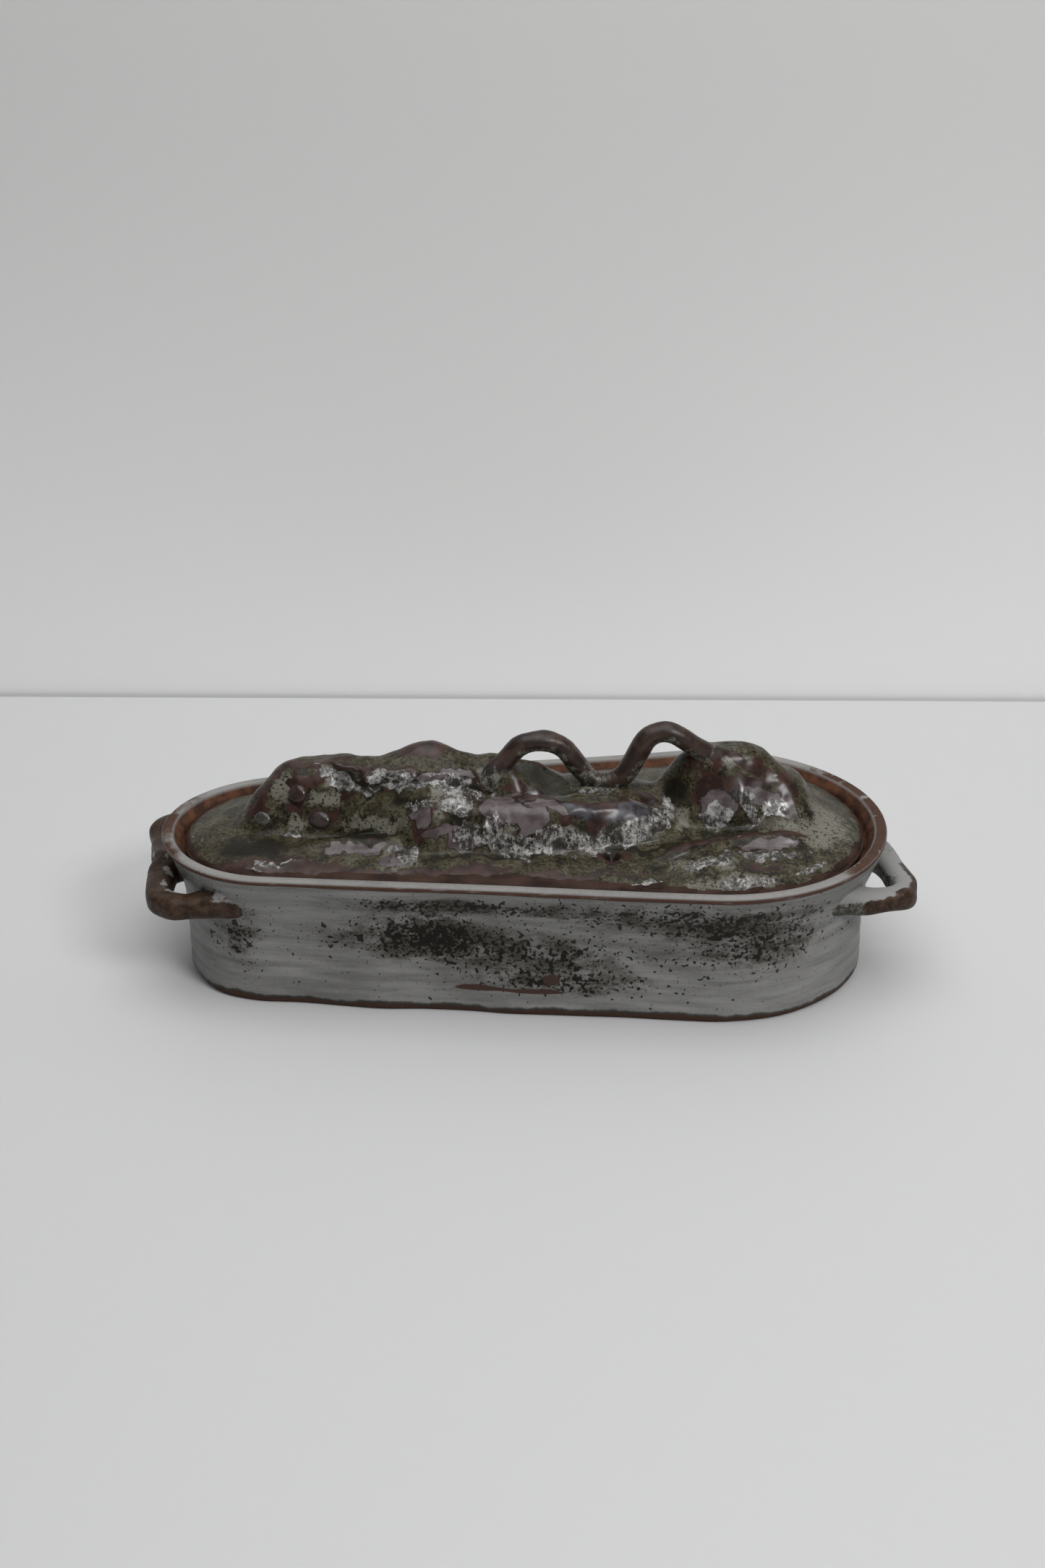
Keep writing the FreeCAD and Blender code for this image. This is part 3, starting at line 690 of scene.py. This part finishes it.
def convexity(points, normal, steps):
    """How far a point stands out of the mean of its four neighbours so many steps away."""
    rows = np.arange(len(points))
    ahead = points[np.minimum(rows + steps, rows[-1])]
    behind = points[np.maximum(rows - steps, 0)]
    mean = (ahead + behind + np.roll(points, steps, 1) + np.roll(points, -steps, 1)) / 4
    return np.sum((points - mean) * normal, axis=2)


fingers = patches(FINGER_MARKS, 2) * np.sin(2 * math.pi * (x + 0.25 * w) / FINGER_SPACING)
folds = patches(LEG_FOLDS, 1) * np.sin(2 * math.pi * (w - 0.45 * x) / FOLD_SPACING)
# Painted glints: silver along and below the ridge, along the foot of the roll and on the finger marks,
# over the crazing's relief.
crazing_and_glints = np.maximum.reduce([
    patches(CRAZING_AND_GLINTS, 1.5), stroke(RIDGE, -6.5, 2.4) * 0.8, stroke(ROLL_FOOT, 0, 5.6),
    np.abs(fingers) * 0.7,
])
relief = (0.3 + 0.7 * on_animal) * (ripple(top, 30, 31) * 0.36 + ripple(top, 13, 32) * 0.16)
relief += (0.05 + 0.10 * on_animal + 0.6 * crazing_and_glints) * ripple(top, 5.0, 33) * 0.30
relief += crazing_and_glints * np.abs(ripple(top, 9, 34)) * 0.30 + fingers * 1.5 + folds * 0.35
relief += 1.7 * stroke(RIDGE, 0, 2.2) - 1.9 * stroke(RIDGE, -5.5, 3.4)
normal = upward_normals(top)
top = top + normal * (relief * smooth(0, 5, inset))[..., None]
bare_width = 3.2 + 4.6 * np.exp(-((x + 10) / 95) ** 2) * smooth(0, -40, y)
bare_width = bare_width + ripple(top * (1, 1, 0), 22, 41) * 0.8 + ripple(top * (1, 1, 0), 7, 42) * 0.4
bare = smooth(0.4, -0.4, inset - bare_width)
zones = {
    "crazing_and_glints": crazing_and_glints,
    "mauves": patches(MAUVES, 1.6),
    "blues": patches(BLUES, 1.4),
    "greys": patches(GREYS, 1.2),
    "hollow": patches(HOLLOWS, 2.5),
    # Painted shadow: a dark band just under the ridge, joined to the dark glaze patches.
    "darks_and_shadows": np.maximum(patches(DARKS_AND_SHADOWS, 1.2), stroke(RIDGE, -3.6, 1.6)),
    "browns": np.maximum(patches(BROWNS, 1.4), stroke(RIDGE, 0.6, 2.3)),
    "crest": convexity(top, normal, 6) * smooth(0, 8, inset),
    # Painted shade: inside the vent hole and a thin ring round it.
    "vent": smooth(VENT_RADIUS + 1.0, VENT_RADIUS + 0.2, from_vent),
}
edge_insets, edge_levels = np.array(EDGE, float).T[..., None]
edge = shell_of(LID_GAP + edge_insets, edge_levels, LID_ROUND)
under_inset, under_level = EDGE[-1]
under_share = np.array([0.5, 1])[:, None]
under = shell_of(LID_GAP + under_inset + (reach - under_inset) * under_share,
                 under_level + 0 * under_share, LID_ROUND)
grid = np.concatenate([top, edge, under])


def all_over(values, below):
    """The field of the lid's top, carried on over the edge and the underside with one value."""
    return np.concatenate([values, np.full((len(grid) - LID_ROWS, LID_ROUND), below)])


fields = {name: all_over(values, 0.0) for name, values in zones.items()}
lid = skin("lid_plate", grid, {**fields, "bare": all_over(bare, 1.0)})

SHADE = (0.006, 0.005, 0.0025)
MOSS = (0.052, 0.043, 0.023)
PALE_MOSS = (0.090, 0.083, 0.057)
ASH = (0.158, 0.151, 0.120)
BREAK = (0.022, 0.010, 0.0075)
WARM_BREAK = (0.048, 0.022, 0.017)
# Pool colours, partly painted sheen of the soft light on the glaze.
BLUE_POOL_AND_SHEEN = ((0.018, 0.013, 0.014), (0.058, 0.055, 0.064))
MAUVE_POOL_AND_SHEEN = ((0.066, 0.048, 0.047), (0.128, 0.104, 0.107))
POOL_RIM = (0.020, 0.009, 0.008)
# Painted glints: the crazing's cracks dark, its lit streaks near white.
SILVER_GLINTS = ((0.022, 0.017, 0.014), (0.44, 0.43, 0.41))
HOLLOW_GREY_AND_SHADE = ((0.030, 0.028, 0.021), (0.062, 0.061, 0.051))
DOT = (0.011, 0.010, 0.006)
EDGE_CLAY = ((0.022, 0.012, 0.009), (0.056, 0.031, 0.023))
# Painted shade in the vent hole.
VENT_PAINTED_SHADE = (0.012, 0.006, 0.004)


def lid_glaze():
    """Mottled moss and ash, painted shade, brown breaks, pools and crazing with painted sheen and
    glints, dots and bare clay.

    Each zone is the step of its attribute plus noise, which gives it a ragged edge, and its colour is
    tinted over the last.
    """
    glaze, place = material("lid_glaze", MOSS)
    cloud = place.noise(17, 4, 0.6, 0.4)
    blots = place.noise(6, 4, 0.7)
    grain = place.noise(1.7, 3, 0.75)
    mottle = cloud * 0.30 + blots * 0.34 + grain * 0.36
    colour = mottle.step(0.41, 0.52).tint(SHADE, MOSS)
    colour = mottle.step(0.51, 0.58).tint(colour, PALE_MOSS)
    grey = (place.attribute("greys") + (mottle - 0.5) * 2.6).step(0.30, 0.85)
    colour = grey.tint(colour, ASH)
    # Dark glaze patches and painted shadow, tinted towards the shade colour.
    dark = (place.attribute("darks_and_shadows") + (mottle - 0.5) * 3.0).step(0.35, 0.80)
    colour = (dark * 0.88).tint(colour, SHADE)

    ragged = (blots - 0.5) * 1.1 + (grain - 0.5) * 0.35
    browns = place.attribute("browns")
    worn = (browns + place.attribute("crest") * 0.42 + ragged).step(0.42, 0.54)
    colour = worn.tint(colour, place.noise(8, 3).step(0.4, 0.6).tint(BREAK, WARM_BREAK))
    # Blue-grey and mauve pools, partly glaze colour and partly painted sheen.
    blue = (place.attribute("blues") + ragged * 0.7).step(0.36, 0.60)
    colour = blue.tint(colour, place.noise(4, 4).step(0.35, 0.65).tint(*BLUE_POOL_AND_SHEEN))
    mauve = place.attribute("mauves") + ragged * 0.6
    colour = (mauve.step(0.26, 0.34) * 0.85).tint(colour, POOL_RIM)
    cast = place.noise(9, 4, 0.6).step(0.35, 0.65)
    colour = mauve.step(0.40, 0.50).tint(colour, cast.tint(*MAUVE_POOL_AND_SHEEN))
    pool = mauve.step(0.3, 0.5)

    tide = place.noise(8, 2, 0.5)
    crazing_and_glints = place.attribute("crazing_and_glints") + (tide - 0.5) * 1.3 + (grain - 0.5) * 0.15
    crazing_and_glints = crazing_and_glints.step(0.30, 0.42)
    veins = place.noise(0.9, 2, 0.7)
    sheen = place.stretched(1, 0.55, 0.55).noise(1.9, 4, 0.7)
    silver_glints = sheen * 0.5 + veins * 0.25 + place.noise(7, 3, 0.6, 0.6) * 0.65
    # Painted glints and sheen: the crazed zones tinted to near-white silver in streaks.
    colour = (crazing_and_glints * 0.92).tint(colour, silver_glints.step(0.62, 0.86).tint(*SILVER_GLINTS))
    # Scoops under the arches: grey glaze with painted shade.
    hollow = (place.attribute("hollow") + (blots - 0.5) * 0.3).step(0.36, 0.46)
    grey_and_shade = (cloud * 0.6 + grain * 0.4).step(0.35, 0.65).tint(*HOLLOW_GREY_AND_SHADE)
    colour = hollow.tint(colour, grey_and_shade)
    dots = (place.noise(1.8, 1, 0.5) + (0.5 - cloud) * 0.3).step(0.585, 0.65)
    clear = (1.0 - mauve.step(0.3, 0.4)) * (1.0 - worn) * (1.0 - hollow)
    colour = (dots * clear * 0.85).tint(colour, DOT)
    bare = (place.attribute("bare") + (place.noise(2.5, 2) - 0.5) * 0.2).step(0.4, 0.6)
    clay = place.stretched(0.3, 0.3, 1).noise(5, 4).step(0.3, 0.7).tint(*EDGE_CLAY)
    colour = bare.tint(colour, clay)
    # Painted shade: the vent hole made near black.
    colour = place.attribute("vent").tint(colour, VENT_PAINTED_SHADE)

    relief = grain * 0.16 + blots * 0.30 + cloud * 0.35 + crazing_and_glints * veins * 0.8
    relief = relief + crazing_and_glints * sheen * 1.4 + worn * -0.10 + pool * 0.10
    return finished(glaze, place, {
        "Base Color": colour,
        "Roughness": bare * 0.2 + place.noise(5, 3) * 0.12 + 0.34,
        "Specular IOR Level": 0.10,
        "Coat Weight": (crazing_and_glints * 0.6 + pool * 0.5 + blue * 0.15 + browns * 0.4 + 0.22) * (1.0 - bare),
        "Coat Roughness": 0.24,
        "Normal": relief.bump(0.75, 0.8),
    })


lid.data.materials.append(lid_glaze())
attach(lid, "root")
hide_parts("lid")


# Bosses: three pellets of clay pressed flat on the near side of the animal's head before glazing. The
# glaze has broken plum brown on two of them and lies grey on the one under the chin.
# Middle of each pellet, its half sizes across and up the side, and its colour.
PELLETS = {
    "nose_boss": ((-114.6, -20.2, 97.3), (6.6, 4.9), (0.052, 0.036, 0.034)),
    "eye_boss": ((-126.6, -13.6, 110.0), (5.4, 5.6), (0.040, 0.022, 0.018)),
    "chin_boss": ((-146.6, -13.5, 95.1), (5.4, 4.4), (0.078, 0.075, 0.062)),
}
PELLET_HALF_THICK = 2.6
PELLET_ROWS = 25
PELLET_ROUND = 48
LEAN = math.radians(26)
TURN = math.radians(-24)


def pellet(middle, size):
    """middle + size * sin(polar)^0.7 across and up, + half the thickness * cos(polar) outwards."""
    out = np.array([math.cos(LEAN) * math.sin(TURN), -math.cos(LEAN) * math.cos(TURN), math.sin(LEAN)])
    across = np.cross(out, (0, 0, 1.0))
    across /= np.linalg.norm(across)
    up = np.cross(across, out)
    polar = np.linspace(0, math.pi, PELLET_ROWS)[:, None]
    turn = np.arange(PELLET_ROUND) / PELLET_ROUND * 2 * math.pi
    disc = np.sin(polar) ** 0.7
    return (np.array(middle) + across * (disc * size[0] * np.cos(turn))[..., None]
            + up * (disc * size[1] * np.sin(turn))[..., None]
            + out * (np.cos(polar) * PELLET_HALF_THICK + 0 * turn)[..., None])


for name, (middle, size, hue) in PELLETS.items():
    boss = skin(name, pellet(middle, size))
    glaze, place = material(name + "_glaze", hue)
    shade = tuple(0.45 * part for part in hue)
    colour = place.noise(5, 4, 0.7).step(0.42, 0.62).tint(hue, shade)
    boss.data.materials.append(finished(glaze, place, {"Base Color": colour, "Roughness": 0.24}))
    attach(boss, "root")
    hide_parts("lid")


# Coil handle: a finger-thick roll of clay in two arches over the animal's back, pressed down between
# them and at both ends, under a glaze that has broken to brown, and grey at its feet.
# Corners of the coil's middle line as (x, height), from the shoulder to the haunch.
COIL = [(-25, 109), (10.7, 149), (46.7, 94), (73, 147.3), (110.5, 118)]
COIL_BENDS = [21, 15, 13.4]
COIL_Y = -2.0
COIL_POINTS = 300
COIL_ROUND = 48
COIL_RADIUS = 6.1
# Share of the coil's length at which it touches down between the arches.
DIP = 0.47
COIL_BROWN = ((0.046, 0.026, 0.018), (0.020, 0.010, 0.007))


def coil_glaze():
    """Warm and dark brown by a slow noise, and mottled ash and shade where it lies on the feet."""
    glaze, place = material("coil_glaze", BREAK)
    colour = place.noise(9, 4).step(0.40, 0.60).tint(*COIL_BROWN)
    mottle = place.noise(6, 4, 0.7) * 0.6 + place.noise(1.7, 3, 0.75) * 0.4
    greys = (place.attribute("foot") * 0.55 + place.noise(12, 5, 0.7)).step(0.60, 0.74)
    relief = place.noise(8, 3) * 0.8 + place.noise(2.4, 3) * 0.3
    return finished(glaze, place, {
        "Base Color": greys.tint(colour, mottle.step(0.42, 0.60).tint(SHADE, ASH)),
        "Roughness": place.noise(6, 3) * 0.16 + 0.30,
        "Specular IOR Level": 0.42,
        "Normal": relief.bump(0.5, 0.7),
    })


line_x, line_z = rounded(COIL, COIL_BENDS, COIL_POINTS).T
way = np.linspace(0, 1, COIL_POINTS)
line_y = COIL_Y - 4 * smooth(0.16, 0, way) + 4 * smooth(0.86, 1, way)
path = np.stack([line_x, line_y, line_z], -1)
along = np.linspace(0, 1, COIL_POINTS + 2)
thick = COIL_RADIUS + 3.0 * smooth(0.12, 0.0, along) + 1.4 * smooth(0.86, 1.0, along)
thick -= 0.4 * np.exp(-((along - DIP) / 0.06) ** 2)
rings = tube(path, (0, 1, 0), thick, thick, 2.0, COIL_ROUND)
rings, out = hand_shaped(rings, path, length=20, seed=51, depth=0.3, shrink=0.2)
foot = np.maximum(smooth(0.13, 0.02, along), smooth(0.90, 0.98, along))
foot = np.maximum(foot, 0.3 * np.exp(-((along - DIP) / 0.07) ** 2))
foot = foot[:, None] + 0.5 * smooth(0.3, -0.7, out[..., 2])
coil = skin("coil_handle", rings, {"foot": foot})
coil.data.materials.append(coil_glaze())
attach(coil, "root")
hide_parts("lid")


# Stage: a white table top and the wall that rises behind its far edge, clear from behind, with the
# same pale floor on beyond it.
# Painted shade: the table's white darkens towards the front and the wall's white darkens towards the
# top, as the light falls off.
TABLE_WHITE_AND_SHADE = ((0.585, 0.585, 0.59), (0.665, 0.665, 0.668))
FLOOR_WHITE = ((0.60, 0.60, 0.605), (0.60, 0.60, 0.605))
WALL_WHITE_AND_SHADE = ((0.86, 0.858, 0.85), (0.62, 0.616, 0.608))


def board(name, corners, hues, axis, span):
    """One flat face over four corners in metres, seen from the front only.

    Its colour goes from the first hue to the second along an axis, over a span in millimetres.
    """
    mesh = bpy.data.meshes.new(name)
    mesh.from_pydata(corners, [], [[0, 1, 2, 3]])
    made = set_out(name, mesh)
    paint, place = material(name, hues[0])
    behind = place.node("ShaderNodeNewGeometry", {}, {}, "Backfacing")
    mesh.materials.append(finished(paint, place, {
        "Base Color": place.coordinate(axis).step(*span).tint(*hues),
        "Alpha": 1.0 - behind,
        "Roughness": 0.55,
    }))


# The table top, with painted shade darker towards the front.
board("table_top", [(-4, -3, 0), (4, -3, 0), (4, 0.192, 0), (-4, 0.552, 0)],
      TABLE_WHITE_AND_SHADE, "Y", (-500, 360))
board("floor_behind", [(-4, 0.557, 0), (4, 0.197, 0), (4, 4, 0), (-4, 4, 0)],
      FLOOR_WHITE, "Y", (500, 3000))
# The wall, with painted shade darker towards the top.
board("back_wall", [(-4, 0.556, -1), (4, 0.196, -1), (4, 0.196, 3), (-4, 0.556, 3)],
      WALL_WHITE_AND_SHADE, "Z", (0, 500))


# Light and camera: a broad soft light overhead, a weaker one from the front right, and a pale room.
# Places and sizes are in metres.
ROOM_LIGHT = (0.80, 0.82, 0.85)
ROOM_STRENGTH = 0.19
CAMERA_PLACE = (-0.0375, -1.1010, 0.6335)
CAMERA_LINE = (0.0296, 0.9021, -0.4306)
FOCAL_PIXELS = 3000
PHOTO_HEIGHT = 2168
SENSOR = 36.0


def lamp(name, place, size, power, aim=(0, 0, 0.08)):
    """A rectangular area light at a place, turned to the aim."""
    light = bpy.data.lights.new(name, "AREA")
    light.shape = "RECTANGLE"
    light.size, light.size_y = size
    light.energy = power
    made = set_out(name, light)
    made.location = place
    made.rotation_euler = (Vector(aim) - Vector(place)).to_track_quat("-Z", "Y").to_euler()


lamp("overhead", (-0.05, 0.0, 1.7), (2.6, 1.6), 28.5)
lamp("front", (1.0, -1.40, 1.50), (0.70, 0.45), 19)
world = bpy.data.worlds.new("room")
bpy.context.scene.world = world
world.use_nodes = True
room = world.node_tree.nodes["Background"].inputs
room["Color"].default_value = (*ROOM_LIGHT, 1)
room["Strength"].default_value = ROOM_STRENGTH

camera = set_out("camera", bpy.data.cameras.new("camera"))
camera.location = CAMERA_PLACE
camera.rotation_euler = Vector(CAMERA_LINE).to_track_quat("-Z", "Y").to_euler()
camera.data.sensor_width = SENSOR
camera.data.lens = FOCAL_PIXELS / PHOTO_HEIGHT * SENSOR
bpy.context.scene.camera = camera
bpy.context.scene.view_settings.view_transform = "Standard"
